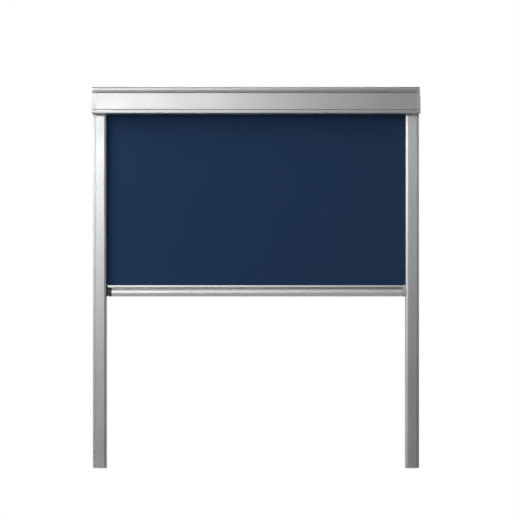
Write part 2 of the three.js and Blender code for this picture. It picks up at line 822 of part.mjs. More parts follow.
// The channel's full section. Its rear flange reaches further towards the cloth than its front.
function channelBlock(from, to) {
  const flange = rectangle(mouthFront - channelWall, 0, channelMouth, clothDepth - mouthHalfWidth);
  return solidOf(upward(rounded(channelCorners()), from, to)).add(solidOf(upward(flange, from, to)));
}

// The two chambers of a channel, made smaller all round by a fit.
function channelChambers(from, to, fit) {
  const inner = offset(channelCorners().map(({ at }) => at), channelWall + fit);
  const web = channelOuter + channelWebInset;
  const all = solidOf(upward(inner, from, to));
  const boxSide = rectangle(channelOuter, 0, web - fit, channelDepth);
  const slotSide = rectangle(web + channelWall + fit, 0, channelMouth, channelDepth);
  return [boxSide, slotSide].map((half) => all.intersect(solidOf(upward(half, from - overrun, to + overrun))));
}

function sideChannel(top, foot) {
  const mouth = rectangle(
    mouthFront - channelWall - overrun,
    clothDepth - mouthHalfWidth,
    channelMouth + overrun,
    clothDepth + mouthHalfWidth,
  );
  const flangeRoom = rectangle(
    mouthFront - channelWall - overrun,
    channelWall,
    channelMouth - channelWall,
    clothDepth,
  );
  const recess = rectangle(
    channelOuter + tapeInset,
    -overrun,
    channelOuter + tapeInset + tapeWidth,
    tapeThickness,
  );
  let channel = channelBlock(foot, top);
  for (const chamber of channelChambers(foot - overrun, top + overrun, 0)) channel = channel.subtract(chamber);
  for (const cut of [mouth, flangeRoom, recess]) {
    channel = channel.subtract(solidOf(upward(cut, foot - overrun, top + overrun)));
  }
  return channel;
}

function channelTape(top, foot) {
  const outline = rectangle(
    channelOuter + tapeInset + seatGap,
    0,
    channelOuter + tapeInset + tapeWidth - seatGap,
    tapeThickness / 2,
  );
  return upward(outline, foot + tapeEndInset, top - tapeEndInset);
}

// A moulded foot: its plate closes the channel, one leg plugs into the outer chamber, and a block
// in the other chamber stops the bar.
function channelFoot(foot) {
  const plate = channelBlock(foot - seatGap - footPlate, foot - seatGap);
  const root = foot - seatGap - footPlate / 2;
  const [leg] = channelChambers(root, foot + footLegLength, seatGap);
  const [, stop] = channelChambers(root, foot + footStopHeight, seatGap);
  return plate.add(leg).add(stop);
}

function channelSide(side) {
  const group = new THREE.Group();
  const top = -seatGap;
  const foot = -sideLength + footPlate + seatGap;
  group.add(piece(`${side}_channel`, sideChannel(top, foot), aluminium));
  group.add(piece(`${side}_channel_tape`, channelTape(top, foot), foamTape));
  group.add(piece(`${side}_channel_foot`, channelFoot(foot), greyPlastic));
  group.position.z = -headerHeight / 2;
  group.scale.x = side === 'right' ? -1 : 1;
  return group;
}

// Bottom bar
const barBack = clothDepth - barBackSetback;
const gripTop = gripHeight;
const barLipFoot = gripHeight + barGrooveHeight;
const gripEnd = openingWidth / 2 - gripEndGap;
const lipLeft = -gripEnd - lipOverhangLeft;
const lipRight = gripEnd + lipOverhangRight;

// The rounded front of the grip, from its foot up over the nose to its top.
function gripFront() {
  const foot = point(clothDepth + gripFootReach, gripNoseHeight);
  const top = point(clothDepth + gripTopReach, gripNoseHeight);
  const lower = ellipse(foot, gripReach - gripFootReach, gripNoseHeight, 3 / 4, 1, gripSteps);
  const upper = ellipse(top, gripReach - gripTopReach, gripHeight - gripNoseHeight, 0, 1 / 4, gripSteps);
  return [...lower, ...upper.slice(1)];
}

function gripOutline(top) {
  const groove = clothDepth + barGrooveReach;
  return [point(barBack, 0), ...gripFront(), point(groove, gripTop), point(groove, top), point(barBack, top)];
}

// The bar's lips, and the slot between them that the hem goes in by.
function barLips(foot) {
  const front = clothDepth + barLipReach;
  return rounded([
    corner(barBack, foot),
    corner(front, foot),
    corner(front, barHeight, barBackRadius),
    corner(barBack, barHeight, barBackRadius),
  ]);
}

// The bar's hollow, an L round the hem pocket, made smaller all round by a fit.
function barHollow(from, to, fit) {
  const inner = offset(gripOutline(gripTop), barWall + fit);
  const pocketFront = clothDepth + hemPocketRadius + barWall + fit;
  const pocketFoot = hemPocketHeight - hemPocketRadius - barWall - fit;
  const pocket = rectangle(barBack - overrun, pocketFoot, pocketFront, barHeight);
  const all = solidOf(across(inner, from, to));
  return all.subtract(solidOf(across(pocket, from - overrun, to + overrun)));
}

function bottomBar() {
  const slot = rectangle(
    clothDepth - hemSlotHalfWidth,
    hemPocketHeight,
    clothDepth + hemSlotHalfWidth,
    barHeight + overrun,
  );
  const pocket = circle(point(clothDepth, hemPocketHeight), hemPocketRadius, turnedFacets);
  let bar = solidOf(across(gripOutline(barLipFoot + seatGap), -gripEnd, gripEnd));
  bar = bar.add(solidOf(across(barLips(barLipFoot), lipLeft, lipRight)));
  for (const cut of [slot, pocket]) {
    bar = bar.subtract(solidOf(across(cut, lipLeft - overrun, lipRight + overrun)));
  }
  return bar.subtract(barHollow(-gripEnd - overrun, gripEnd + overrun, 0));
}

// A moulded end of the bar: a body that continues the grip, a spigot in the bar's hollow, a blade
// through the channel's mouth and a slider inside the channel. Both ends are the same moulding,
// so its sizes leave room for the side shift both ways.
const endBodyOuter = -openingWidth / 2 - mouthInset + barSideShift + seatGap;
const sliderInner = -openingWidth / 2 - mouthInset - channelWall - barSideShift - seatGap;
const sliderOuter = sliderInner - sliderWidth;
const bladeTop = barHeight - seatGap;
const brakeHeight = (bladeFoot + bladeTop) / 2;

function barEnd() {
  const bodyInner = -gripEnd - seatGap;
  const bodyTop = barLipFoot - seatGap;
  const bladeBack = clothDepth - bladeHalfThickness;
  const bladeFront = clothDepth + bladeHalfThickness;
  const blade = [
    point(sliderInner - overrun, bladeFoot),
    point(bodyInner, bladeFoot),
    point(bodyInner, bodyTop),
    point(lipLeft - seatGap, bodyTop),
    point(lipLeft - seatGap, bladeTop),
    point(sliderInner - overrun, bladeTop),
  ];
  const relief = rectangle(endBodyOuter - overrun, 0, -openingWidth / 2 + barSideShift + seatGap, bladeBack);
  const sliderFront = channelDepth - channelWall - 2 * seatGap;
  const sliderCorner = sliderFront - mouthSlopeDepth;
  const sliderBack = 2 * clothDepth - sliderFront;
  const slider = [
    point(sliderOuter, sliderBack),
    point(sliderInner, sliderBack),
    point(sliderInner, sliderCorner),
    point(sliderInner - mouthSlopeWidth, sliderFront),
    point(sliderOuter, sliderFront),
  ];
  const notch = [
    point(endBodyOuter - endNotchHalfWidth, -overrun),
    point(endBodyOuter - endNotchHalfWidth, 0),
    point(endBodyOuter, endNotchHeight),
    point(endBodyOuter + endNotchHalfWidth, 0),
    point(endBodyOuter + endNotchHalfWidth, -overrun),
  ];
  const innerCorner = [
    point(bodyInner - endCornerWidth, -overrun),
    point(bodyInner, -overrun),
    point(bodyInner, endCornerHeight),
    point(bodyInner - endCornerWidth, 0),
  ];
  const pocket = circle(point(clothDepth, brakeHeight), brakePocketRadius, smallFacets);
  return solidOf(across(gripOutline(bodyTop), endBodyOuter, bodyInner))
    .subtract(solidOf(upward(relief, -overrun, barHeight)))
    .add(solidOf(forward(blade, bladeBack, bladeFront)))
    .add(solidOf(upward(slider, bladeFoot, bladeTop)))
    .add(barHollow(bodyInner - overrun, bodyInner + endSpigotLength, seatGap))
    .subtract(solidOf(forward(notch, 0, headerDepth)))
    .subtract(solidOf(forward(innerCorner, 0, headerDepth)))
    .subtract(solidOf(across(pocket, sliderOuter - overrun, sliderOuter + brakePocketDepth)));
}

// The brake shoe presses on the channel's web. The two sides differ by twice the bar's side shift.
function brakeShoe(web) {
  const plateEnd = web + seatGap + brakeShoeWall;
  const plate = rectangle(
    clothDepth - brakeShoeHalfDepth,
    brakeHeight - brakeShoeHeight / 2,
    clothDepth + brakeShoeHalfDepth,
    brakeHeight + brakeShoeHeight / 2,
  );
  const stem = circle(point(clothDepth, brakeHeight), brakeStemRadius, smallFacets);
  const pad = solidOf(across(plate, web + seatGap, plateEnd));
  return pad.add(solidOf(across(stem, plateEnd - brakeShoeWall / 2, plateEnd + brakeStemLength)));
}

function brakeSpring(web) {
  const from = web + 2 * seatGap + brakeShoeWall;
  const to = sliderOuter + brakePocketDepth - seatGap;
  const radius = brakeStemRadius + seatGap + brakeWireRadius;
  const spring = coil(radius, brakeWireRadius, from, to, brakeSpringTurns);
  return spring.translate(0, -clothDepth, brakeHeight);
}

function barSide(side, look) {
  const group = new THREE.Group();
  const shift = side === 'left' ? barSideShift : -barSideShift;
  const web = channelOuter + channelWebInset + channelWall - shift;
  group.add(piece(`${side}_bar_end`, barEnd(), look));
  group.add(piece(`${side}_brake_shoe`, brakeShoe(web), rubber));
  group.add(piece(`${side}_brake_spring`, brakeSpring(web), springSteel));
  group.scale.x = side === 'right' ? -1 : 1;
  return group;
}

function bar() {
  const group = new THREE.Group();
  const hemRod = circle(point(clothDepth, hemPocketHeight), hemPocketRadius - seatGap, smallFacets);
  group.add(piece('bottom_bar', bottomBar(), aluminium));
  group.add(piece('hem_rod', across(hemRod, -gripEnd, gripEnd), whitePlastic));
  group.add(barSide('left', charcoalPlastic), barSide('right', greyPlastic));
  group.position.set(barSideShift, 0, -headerHeight / 2 - barDrop - barHeight);
  return group;
}

// The hanging cloth, from the roll to the hem rod. Its lower corners are cut away in two steps,
// above the sliders and above the moulded ends of the bar.
function clothPanel() {
  const barTop = -barDrop;
  const barFoot = barTop - barHeight;
  const lipSide = -lipLeft - barSideShift;
  const gripSide = gripEnd - barSideShift;
  const steps = [
    { halfWidth: clothWidth / 2, top: rollerHeight, foot: barTop + seatGap },
    { halfWidth: lipSide, top: barTop + seatGap, foot: barFoot + barLipFoot + seatGap },
    { halfWidth: gripSide, top: barFoot + barLipFoot + seatGap, foot: barFoot + hemPocketHeight + hemPocketRadius },
  ];
  const rightSide = steps.flatMap(({ halfWidth, top, foot }) => [point(halfWidth, top), point(halfWidth, foot)]);
  const leftSide = rightSide.map(({ x, y }) => point(-x, y)).reverse();
  const half = clothThickness / 2;
  const sheet = forward([...rightSide, ...leftSide].reverse(), clothDepth - half, clothDepth + half);
  const mesh = piece('cloth_panel', sheet, navyCloth);
  mesh.position.z = -headerHeight / 2;
  return mesh;
}

const blind = new THREE.Group();
blind.add(header(), roller(), channelSide('left'), channelSide('right'), bar(), clothPanel());

export default blind;
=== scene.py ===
import json
import math
import random

import bmesh
import bpy
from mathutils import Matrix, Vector


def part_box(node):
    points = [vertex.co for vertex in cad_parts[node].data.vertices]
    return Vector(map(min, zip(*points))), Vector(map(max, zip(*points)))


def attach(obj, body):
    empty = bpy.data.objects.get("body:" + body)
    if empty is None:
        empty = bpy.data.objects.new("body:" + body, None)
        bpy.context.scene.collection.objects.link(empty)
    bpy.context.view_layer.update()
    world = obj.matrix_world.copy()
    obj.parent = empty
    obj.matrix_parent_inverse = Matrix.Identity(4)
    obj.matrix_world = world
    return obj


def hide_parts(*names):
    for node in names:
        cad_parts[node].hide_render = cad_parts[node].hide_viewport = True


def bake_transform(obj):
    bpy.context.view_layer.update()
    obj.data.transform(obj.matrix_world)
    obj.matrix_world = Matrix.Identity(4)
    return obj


# A roller blind for a roof window, seen straight from the front on white.
# Everything is in metres, X across the window, -Y into the room, Z up.

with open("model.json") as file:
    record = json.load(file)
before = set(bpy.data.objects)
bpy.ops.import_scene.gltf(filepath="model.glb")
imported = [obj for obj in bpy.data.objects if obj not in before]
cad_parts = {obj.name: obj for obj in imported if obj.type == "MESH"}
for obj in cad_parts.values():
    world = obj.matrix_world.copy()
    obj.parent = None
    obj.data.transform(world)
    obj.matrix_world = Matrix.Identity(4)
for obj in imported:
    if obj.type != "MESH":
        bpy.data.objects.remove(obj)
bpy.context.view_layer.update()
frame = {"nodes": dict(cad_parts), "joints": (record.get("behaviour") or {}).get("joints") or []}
nodes = frame["nodes"]
seed = 11  # for the foam's uneven edges
random.seed(seed)
scene = bpy.context.scene
print("blind: frame loaded,", len(nodes), "nodes")

frontCamera = {
    "place": (0.0, -3.8, -0.358015),
    "picture": 520,
    "pixelAtOneMetre": 0.0005345,  # width of one picture point at a metre's distance
    "sensor": 36.0,
    "centreOffset": (-4.0, 18.39),  # where the lens points, in picture points from the middle
    "farthest": 60.0,
}


def placeCamera(look):
    data = bpy.data.cameras.new("frontCamera")
    data.sensor_width = look["sensor"]
    data.lens = look["sensor"] / (look["picture"] * look["pixelAtOneMetre"])
    data.shift_x = -look["centreOffset"][0] / look["picture"]
    data.shift_y = look["centreOffset"][1] / look["picture"]
    data.clip_end = look["farthest"]
    camera = bpy.data.objects.new("frontCamera", data)
    camera.location = look["place"]
    camera.rotation_euler = (math.pi / 2, 0, 0)
    scene.collection.objects.link(camera)
    scene.camera = camera


placeCamera(frontCamera)
scene.view_settings.view_transform = "Standard"


def addNode(tree, kind, **settings):
    node = tree.nodes.new("ShaderNode" + kind)
    for name, value in settings.items():
        setattr(node, name, value)
    return node


def join(tree, source, target):
    tree.links.new(source, target)


# Puts a value, or a link from another node, into a socket.
def feed(tree, socket, value):
    if hasattr(value, "is_linked"):
        join(tree, value, socket)
    else:
        socket.default_value = value


def maths(tree, operation, *values):
    node = addNode(tree, "Math", operation=operation)
    for socket, value in zip(node.inputs, values):
        feed(tree, socket, value)
    return node.outputs["Value"]


def vectorMaths(tree, operation, *values):
    node = addNode(tree, "VectorMath", operation=operation)
    for socket, value in zip(node.inputs, values):
        feed(tree, socket, value)
    return node.outputs["Value" if operation in ("DOT_PRODUCT", "LENGTH") else "Vector"]


# Maps a range to another one, held at both ends.
def spread(tree, value, fromLow, fromHigh, toLow=0.0, toHigh=1.0):
    node = addNode(tree, "MapRange", clamp=True)
    for socket, number in zip(node.inputs, (value, fromLow, fromHigh, toLow, toHigh)):
        feed(tree, socket, number)
    return node.outputs["Result"]


def mixColours(tree, share, first, second, blend="MIX"):
    node = addNode(tree, "Mix", data_type="RGBA", blend_type=blend)
    sockets = [socket for socket in node.inputs if socket.type == "RGBA"]
    feed(tree, node.inputs["Factor"], share)
    for socket, colour in zip(sockets, (first, second)):
        feed(tree, socket, colour)
    return next(socket for socket in node.outputs if socket.type == "RGBA")


def noise(tree, place, detail, roughness, scale=1.0):
    node = addNode(tree, "TexNoise")
    feed(tree, node.inputs["Vector"], place)
    feed(tree, node.inputs["Scale"], scale)
    feed(tree, node.inputs["Detail"], detail)
    feed(tree, node.inputs["Roughness"], roughness)
    return node.outputs["Fac"]


def objectPlace(tree):
    return addNode(tree, "TexCoord").outputs["Object"]


# The X, Y and Z outputs of a vector.
def partsOf(tree, vector):
    node = addNode(tree, "SeparateXYZ")
    join(tree, vector, node.inputs["Vector"])
    return node.outputs


# A shader group with named inputs, given as (label, kind, value), whose outputs are all values.
def newGroup(name, inputs, outputs):
    tree = bpy.data.node_groups.new(name, "ShaderNodeTree")
    for label, kind, value in inputs:
        socket = tree.interface.new_socket(label, in_out="INPUT", socket_type="NodeSocket" + kind)
        socket.default_value = value
    for label in outputs:
        tree.interface.new_socket(label, in_out="OUTPUT", socket_type="NodeSocketFloat")
    given = tree.nodes.new("NodeGroupInput").outputs
    return tree, given, tree.nodes.new("NodeGroupOutput").inputs


dieLines = {"detail": 3.0, "roughness": 0.6, "streakDetail": 2.0, "streakRoughness": 0.55}


# Fine lines that an extrusion keeps from its die, with broader streaks among them.
def buildDieLines(look):
    inputs = [("Stretch", "Vector", (1, 1, 1)), ("Streak Stretch", "Vector", (1, 1, 1))]
    tree, given, out = newGroup("dieLines", inputs, ["Lines", "Streaks"])
    place = objectPlace(tree)
    fine = vectorMaths(tree, "MULTIPLY", place, given["Stretch"])
    broad = vectorMaths(tree, "MULTIPLY", place, given["Streak Stretch"])
    lines = noise(tree, fine, look["detail"], look["roughness"])
    streaks = noise(tree, broad, look["streakDetail"], look["streakRoughness"])
    join(tree, lines, out["Lines"])
    join(tree, streaks, out["Streaks"])
    return tree


surfaceGrain = {"detail": 2.0, "mottleDetail": 4.0, "roughness": 0.6}


# An even small grain, as blasting or a mould leaves it, and a slow mottle over it.
def buildGrain(look):
    inputs = [("Grains per Metre", "Float", 5000.0), ("Mottles per Metre", "Float", 30.0)]
    tree, given, out = newGroup("surfaceGrain", inputs, ["Grain", "Mottle"])
    place = objectPlace(tree)
    grain = noise(tree, place, look["detail"], look["roughness"], given["Grains per Metre"])
    mottleRate = given["Mottles per Metre"]
    mottle = noise(tree, place, look["mottleDetail"], look["roughness"], mottleRate)
    join(tree, grain, out["Grain"])
    join(tree, mottle, out["Mottle"])
    return tree


edgeWear = {
    "samples": 4,
    "flatCloseness": 0.995,  # how alike the rounded and the flat normal are away from an edge
    "edgeCloseness": 0.8,
    "patchRange": (0.42, 0.6),
    "detail": 3.0,
    "roughness": 0.6,
}


# Where a convex edge is rubbed: there the rounded normal leaves the face's own normal.
def buildEdgeWear(look):
    inputs = [
        ("Width", "Float", 0.0004),
        ("Patches per Metre", "Float", 220.0),
        ("Amount", "Float", 0.5),
    ]
    tree, given, out = newGroup("edgeWear", inputs, ["Wear"])
    rounded = addNode(tree, "Bevel", samples=look["samples"])
    join(tree, given["Width"], rounded.inputs["Radius"])
    flat = addNode(tree, "NewGeometry").outputs["Normal"]
    closeness = vectorMaths(tree, "DOT_PRODUCT", rounded.outputs["Normal"], flat)
    edge = spread(tree, closeness, look["flatCloseness"], look["edgeCloseness"])
    rate = given["Patches per Metre"]
    patches = noise(tree, objectPlace(tree), look["detail"], look["roughness"], rate)
    broken = spread(tree, patches, *look["patchRange"])
    worn = maths(tree, "MULTIPLY", edge, broken)
    join(tree, maths(tree, "MULTIPLY", worn, given["Amount"]), out["Wear"])
    return tree


creviceGrime = {
    "samples": 8,
    "openness": (0.35, 0.95),  # share of open sky that leaves the full painted shade, and that leaves none
    "patchesPerMetre": 160.0,
    "detail": 3.0,
    "roughness": 0.6,
    "patchRange": (0.2, 0.6),
    "least": 0.7,  # share of the painted shade where a patch is at its lightest
}


# Painted shade that darkens grooves and inner corners, where little open sky is seen, in uneven
# patches.
def buildCreviceGrime(look):
    inputs = [("Reach", "Float", 0.004), ("Amount", "Float", 0.5)]
    tree, given, out = newGroup("creviceGrime", inputs, ["Grime"])
    sky = addNode(tree, "AmbientOcclusion", samples=look["samples"], only_local=True)
    join(tree, given["Reach"], sky.inputs["Distance"])
    closed = spread(tree, sky.outputs["AO"], *look["openness"], toLow=1.0, toHigh=0.0)
    rate = look["patchesPerMetre"]
    cloud = noise(tree, objectPlace(tree), look["detail"], look["roughness"], rate)
    uneven = spread(tree, cloud, *look["patchRange"], toLow=look["least"])
    patchyShade = maths(tree, "MULTIPLY", closed, uneven)
    join(tree, maths(tree, "MULTIPLY", patchyShade, given["Amount"]), out["Grime"])
    return tree


handPrints = {"detail": 5.0, "roughness": 0.62, "range": (0.35, 0.72)}


# Faint prints and dust that change the gloss from place to place.
def buildHandPrints(look):
    tree, given, out = newGroup("handPrints", [("Prints per Metre", "Float", 14.0)], ["Prints"])
    rate = given["Prints per Metre"]
    cloud = noise(tree, objectPlace(tree), look["detail"], look["roughness"], rate)
    join(tree, spread(tree, cloud, *look["range"]), out["Prints"])
    return tree


plainWeave = {
    "dive": 0.45,  # how far a thread goes down where it passes under another
    "slubStretch": (900, 25, 1),
    "slubStretchAcross": (25, 900, 1),
    "slubDetail": 2.0,
    "slubRoughness": 0.5,
}


# Plain weave on a flat place in metres: round threads that pass over and under each other.
def buildWeave(look):
    inputs = [("Place", "Vector", (0, 0, 0)), ("Threads per Metre", "Float", 2400.0)]
    tree, given, out = newGroup("plainWeave", inputs, ["Height", "Threads"])
    scaled = addNode(tree, "VectorMath", operation="SCALE")
    join(tree, given["Place"], scaled.inputs["Vector"])
    join(tree, given["Threads per Metre"], scaled.inputs["Scale"])
    parts = partsOf(tree, scaled.outputs["Vector"])
    profiles, counts = [], []
    for side in ("X", "Y"):
        share = maths(tree, "FRACT", parts[side])
        profiles.append(maths(tree, "SINE", maths(tree, "MULTIPLY", share, math.pi)))
        counts.append(maths(tree, "FLOOR", parts[side]))
    parity = maths(tree, "PINGPONG", maths(tree, "ADD", *counts), 1.0)
    heights = []
    for across, along in (profiles, reversed(profiles)):
        dip = maths(tree, "MULTIPLY_ADD", along, look["dive"], 1 - look["dive"])
        heights.append(maths(tree, "MULTIPLY", across, dip))
    over = maths(tree, "MULTIPLY", heights[0], parity)
    under = maths(tree, "MULTIPLY", heights[1], maths(tree, "SUBTRACT", 1.0, parity))
    join(tree, maths(tree, "ADD", over, under), out["Height"])
    slubs = []
    for stretch in (look["slubStretch"], look["slubStretchAcross"]):
        place = vectorMaths(tree, "MULTIPLY", given["Place"], stretch)
        slubs.append(noise(tree, place, look["slubDetail"], look["slubRoughness"]))
    mean = maths(tree, "MULTIPLY", maths(tree, "ADD", *slubs), 1 / len(slubs))
    join(tree, mean, out["Threads"])
    return tree


effects = {
    "lines": buildDieLines(dieLines),
    "grain": buildGrain(surfaceGrain),
    "wear": buildEdgeWear(edgeWear),
    "paintedShade": buildCreviceGrime(creviceGrime),
    "prints": buildHandPrints(handPrints),
    "weave": buildWeave(plainWeave),
}
print("blind: shared effects built")


def newMaterial(name, look):
    material = bpy.data.materials.new(name)
    material.use_nodes = True
    tree = material.node_tree
    shader = tree.nodes["Principled BSDF"]
    shader.inputs["Metallic"].default_value = look["metallic"]
    shader.inputs["Specular IOR Level"].default_value = look["specular"]
    return material, tree, shader


def useEffect(tree, name, **settings):
    node = addNode(tree, "Group", node_tree=effects[name])
    for label, value in settings.items():
        feed(tree, node.inputs[label.replace("_", " ")], value)
    return node.outputs


white = (1, 1, 1)


def tone(colour, factor=1.0):
    return tuple(min(part * factor, 1.0) for part in colour) + (1.0,)


# A tone made darker and paler by a share.
def tonesAround(colour, share):
    return tone(colour, 1 - share), tone(colour, 1 + share)


# The roughness of a finish, raised where the prints are.
def printedRoughness(tree, prints, look):
    return maths(tree, "MULTIPLY_ADD", prints, look["printRoughness"], look["roughness"])


# Joins bumps, each given as (height, strength, depth in metres), into the shader's normal.
def relief(tree, shader, layers):
    bumps = []
    for height, strength, depth in layers:
        bump = addNode(tree, "Bump")
        bump.inputs["Strength"].default_value = strength
        bump.inputs["Distance"].default_value = depth
        join(tree, height, bump.inputs["Height"])
        if bumps:
            join(tree, bumps[-1].outputs["Normal"], bump.inputs["Normal"])
        bumps.append(bump)
    join(tree, bumps[-1].outputs["Normal"], shader.inputs["Normal"])


anodised = {
    "colour": (0.60, 0.605, 0.615),
    "worn": (0.74, 0.74, 0.74),
    "metallic": 1.0,
    "specular": 0.5,
    "anisotropy": 0.3,  # die lines spread the gloss across themselves
    "acrossLines": {"X": 0.25, "Z": 0.0},  # in turns from the horizontal
    "roughness": 0.40,
    "printRoughness": 0.05,
    "lineRoughness": 0.06,
    "streakShare": 0.04,
    "wearWidth": 0.00035,
    "wearAmount": 0.5,
    # The colour, reach and amount of the painted shade in grooves and inner corners.
    "paintedShade": (0.16, 0.155, 0.15),
    "paintedShadeReach": 0.005,
    "paintedShadeAmount": 0.35,
    "grainsPerMetre": 6000,
    "lineRelief": (0.25, 0.00002),  # strength, and depth in metres
    "grainRelief": (0.2, 0.00001),
    "lineStretch": {"X": (2, 2600, 2600), "Z": (2600, 2600, 2)},
    "streakStretch": {"X": (0.6, 150, 150), "Z": (150, 150, 0.6)},
}
# The bar is a copy of the casing's aluminium with a paler tone, painted light for the brightness
# its rounded grip catches, and the full painted shade in its groove.
barAluminium = anodised | {
    "colour": (0.80, 0.80, 0.81),
    "worn": (0.88, 0.88, 0.88),
    "anisotropy": 0.0,
    "paintedShadeAmount": 1.0,
}


def extrudedAluminium(name, along, look):
    material, tree, shader = newMaterial(name, look)
    shader.inputs["Anisotropic"].default_value = look["anisotropy"]
    shader.inputs["Anisotropic Rotation"].default_value = look["acrossLines"][along]
    stretch, streakStretch = look["lineStretch"][along], look["streakStretch"][along]
    lines = useEffect(tree, "lines", Stretch=stretch, Streak_Stretch=streakStretch)
    grain = useEffect(tree, "grain", Grains_per_Metre=look["grainsPerMetre"])
    prints = useEffect(tree, "prints")
    wear = useEffect(tree, "wear", Width=look["wearWidth"], Amount=look["wearAmount"])
    paintedShade = useEffect(tree, "paintedShade", Reach=look["paintedShadeReach"], Amount=look["paintedShadeAmount"])
    base = mixColours(tree, lines["Streaks"], *tonesAround(look["colour"], look["streakShare"]))
    # Painted shade darkens the base colour in grooves and inner corners.
    creviceShaded = mixColours(tree, paintedShade["Grime"], base, tone(look["paintedShade"]))
    rubbed = mixColours(tree, wear["Wear"], creviceShaded, tone(look["worn"]))
    join(tree, rubbed, shader.inputs["Base Color"])
    dull = printedRoughness(tree, prints["Prints"], look)
    lined = maths(tree, "MULTIPLY_ADD", lines["Lines"], look["lineRoughness"], dull)
    join(tree, lined, shader.inputs["Roughness"])
    layers = [(lines["Lines"], *look["lineRelief"]), (grain["Grain"], *look["grainRelief"])]
    relief(tree, shader, layers)
    return material


# A moulded, painted, plated or rubber piece: a tone with mottle, a grain and rubbed edges.
def grainedFinish(name, look):
    material, tree, shader = newMaterial(name, look)
    grains, mottles = look["grainsPerMetre"], look["mottlesPerMetre"]
    grain = useEffect(tree, "grain", Grains_per_Metre=grains, Mottles_per_Metre=mottles)
    prints = useEffect(tree, "prints", Prints_per_Metre=look["printsPerMetre"])
    wear = useEffect(tree, "wear", Width=look["wearWidth"], Amount=look["wearAmount"])
    base = mixColours(tree, grain["Mottle"], *tonesAround(look["colour"], look["mottleShare"]))
    rubbed = mixColours(tree, wear["Wear"], base, tone(look["worn"]))
    join(tree, rubbed, shader.inputs["Base Color"])
    join(tree, printedRoughness(tree, prints["Prints"], look), shader.inputs["Roughness"])
    relief(tree, shader, [(grain["Grain"], *look["grainRelief"])])
    return material


# What the grained finishes share where they don't say otherwise.
plainFinish = {
    "metallic": 0.0,
    "specular": 0.5,
    "mottlesPerMetre": 30.0,
    "printsPerMetre": 25.0,
    "wearWidth": 0.0003,
    "wearAmount": 0.5,
}
capPaint = plainFinish | {
    "colour": (0.57, 0.575, 0.585),
    "worn": (0.70, 0.70, 0.70),
    "metallic": 0.85,
    "roughness": 0.40,
    "printRoughness": 0.08,
    "mottleShare": 0.03,
    "grainsPerMetre": 4000,
    "grainRelief": (0.25, 0.00002),
}
charcoalMoulding = plainFinish | {
    "colour": (0.034, 0.034, 0.035),
    "worn": (0.09, 0.09, 0.09),
    "specular": 0.35,
    "roughness": 0.5,
    "printRoughness": 0.12,
    "mottleShare": 0.08,
    "grainsPerMetre": 3500,
    "grainRelief": (0.35, 0.00003),
}
greyMoulding = plainFinish | {
    "colour": (0.46, 0.46, 0.465),
    "worn": (0.6, 0.6, 0.6),
    "specular": 0.4,
    "roughness": 0.45,
    "printRoughness": 0.12,
    "mottleShare": 0.04,
    "grainsPerMetre": 3500,
    "grainRelief": (0.3, 0.00003),
}
whiteMoulding = plainFinish | {
    "colour": (0.78, 0.78, 0.745),
    "worn": (0.85, 0.85, 0.83),
    "roughness": 0.38,
    "printRoughness": 0.15,
    "mottleShare": 0.03,
    "grainsPerMetre": 2500,
    "grainRelief": (0.2, 0.00002),
}
zincPlate = plainFinish | {
    "colour": (0.50, 0.51, 0.54),
    "worn": (0.62, 0.61, 0.58),
    "metallic": 1.0,
    "roughness": 0.3,
    "printRoughness": 0.2,
    "mottleShare": 0.14,
    "mottlesPerMetre": 260.0,
    "grainsPerMetre": 5200,
    "grainRelief": (0.2, 0.00002),
}
oiledWire = plainFinish | {
    "colour": (0.22, 0.22, 0.225),
    "worn": (0.42, 0.40, 0.37),
    "metallic": 1.0,
    "roughness": 0.28,
    "printRoughness": 0.2,
    "mottleShare": 0.2,
    "mottlesPerMetre": 400.0,
    "grainsPerMetre": 6000,
    "grainRelief": (0.2, 0.00001),
}
sinteredBronze = plainFinish | {
    "colour": (0.48, 0.31, 0.13),
    "worn": (0.66, 0.47, 0.24),
    "metallic": 1.0,
    "roughness": 0.42,
    "printRoughness": 0.2,
    "mottleShare": 0.15,
    "mottlesPerMetre": 500.0,
    "grainsPerMetre": 7000,
    "grainRelief": (0.5, 0.00005),
}
brakeRubber = plainFinish | {
    "colour": (0.022, 0.022, 0.024),
    "worn": (0.06, 0.06, 0.06),
    "specular": 0.3,
    "roughness": 0.75,
    "printRoughness": 0.15,
    "mottleShare": 0.15,
    "grainsPerMetre": 3000,
    "grainRelief": (0.5, 0.00004),
}
closedFoam = plainFinish | {
    "colour": (0.03, 0.032, 0.035),
    "worn": (0.05, 0.05, 0.05),
    "specular": 0.2,
    "roughness": 0.85,
    "printRoughness": 0.1,
    "mottleShare": 0.2,
    "mottlesPerMetre": 120.0,
    "grainsPerMetre": 1400,
    "grainRelief": (0.9, 0.00015),
}
clothFront = {
    "colour": (0.0160, 0.0390, 0.0965),
    "metallic": 0.0,
    "specular": 0.12,
    "roughness": 0.80,
    "printRoughness": 0.1,
    "printsPerMetre": 6.0,
    "paintedWeaveShading": 0.28,  # how much paler a thread's crest is, and how much darker the dips are: painted light on the crests and painted shade in the dips
    "slubShare": 0.12,
    "threadsPerMetre": 2400,
    "weaveRelief": (0.5, 0.00008),
}
clothBack = clothFront | {
    "colour": (0.50, 0.505, 0.51),
    "metallic": 0.35,
    "specular": 0.4,
    "roughness": 0.45,
    "paintedWeaveShading": 0.1,
    "slubShare": 0.05,
    "weaveRelief": (0.25, 0.00004),
}


# The flat place of the hanging cloth's threads, in metres.
def hangingPlace(tree):
    parts = partsOf(tree, objectPlace(tree))
    flat = addNode(tree, "CombineXYZ")
    join(tree, parts["X"], flat.inputs["X"])
    join(tree, parts["Z"], flat.inputs["Y"])
    return flat.outputs["Vector"]


# The same for the wound cloth, whose mesh keeps the place along its turns.
def woundPlace(tree):
    return addNode(tree, "Attribute", attribute_name="clothPlace").outputs["Vector"]


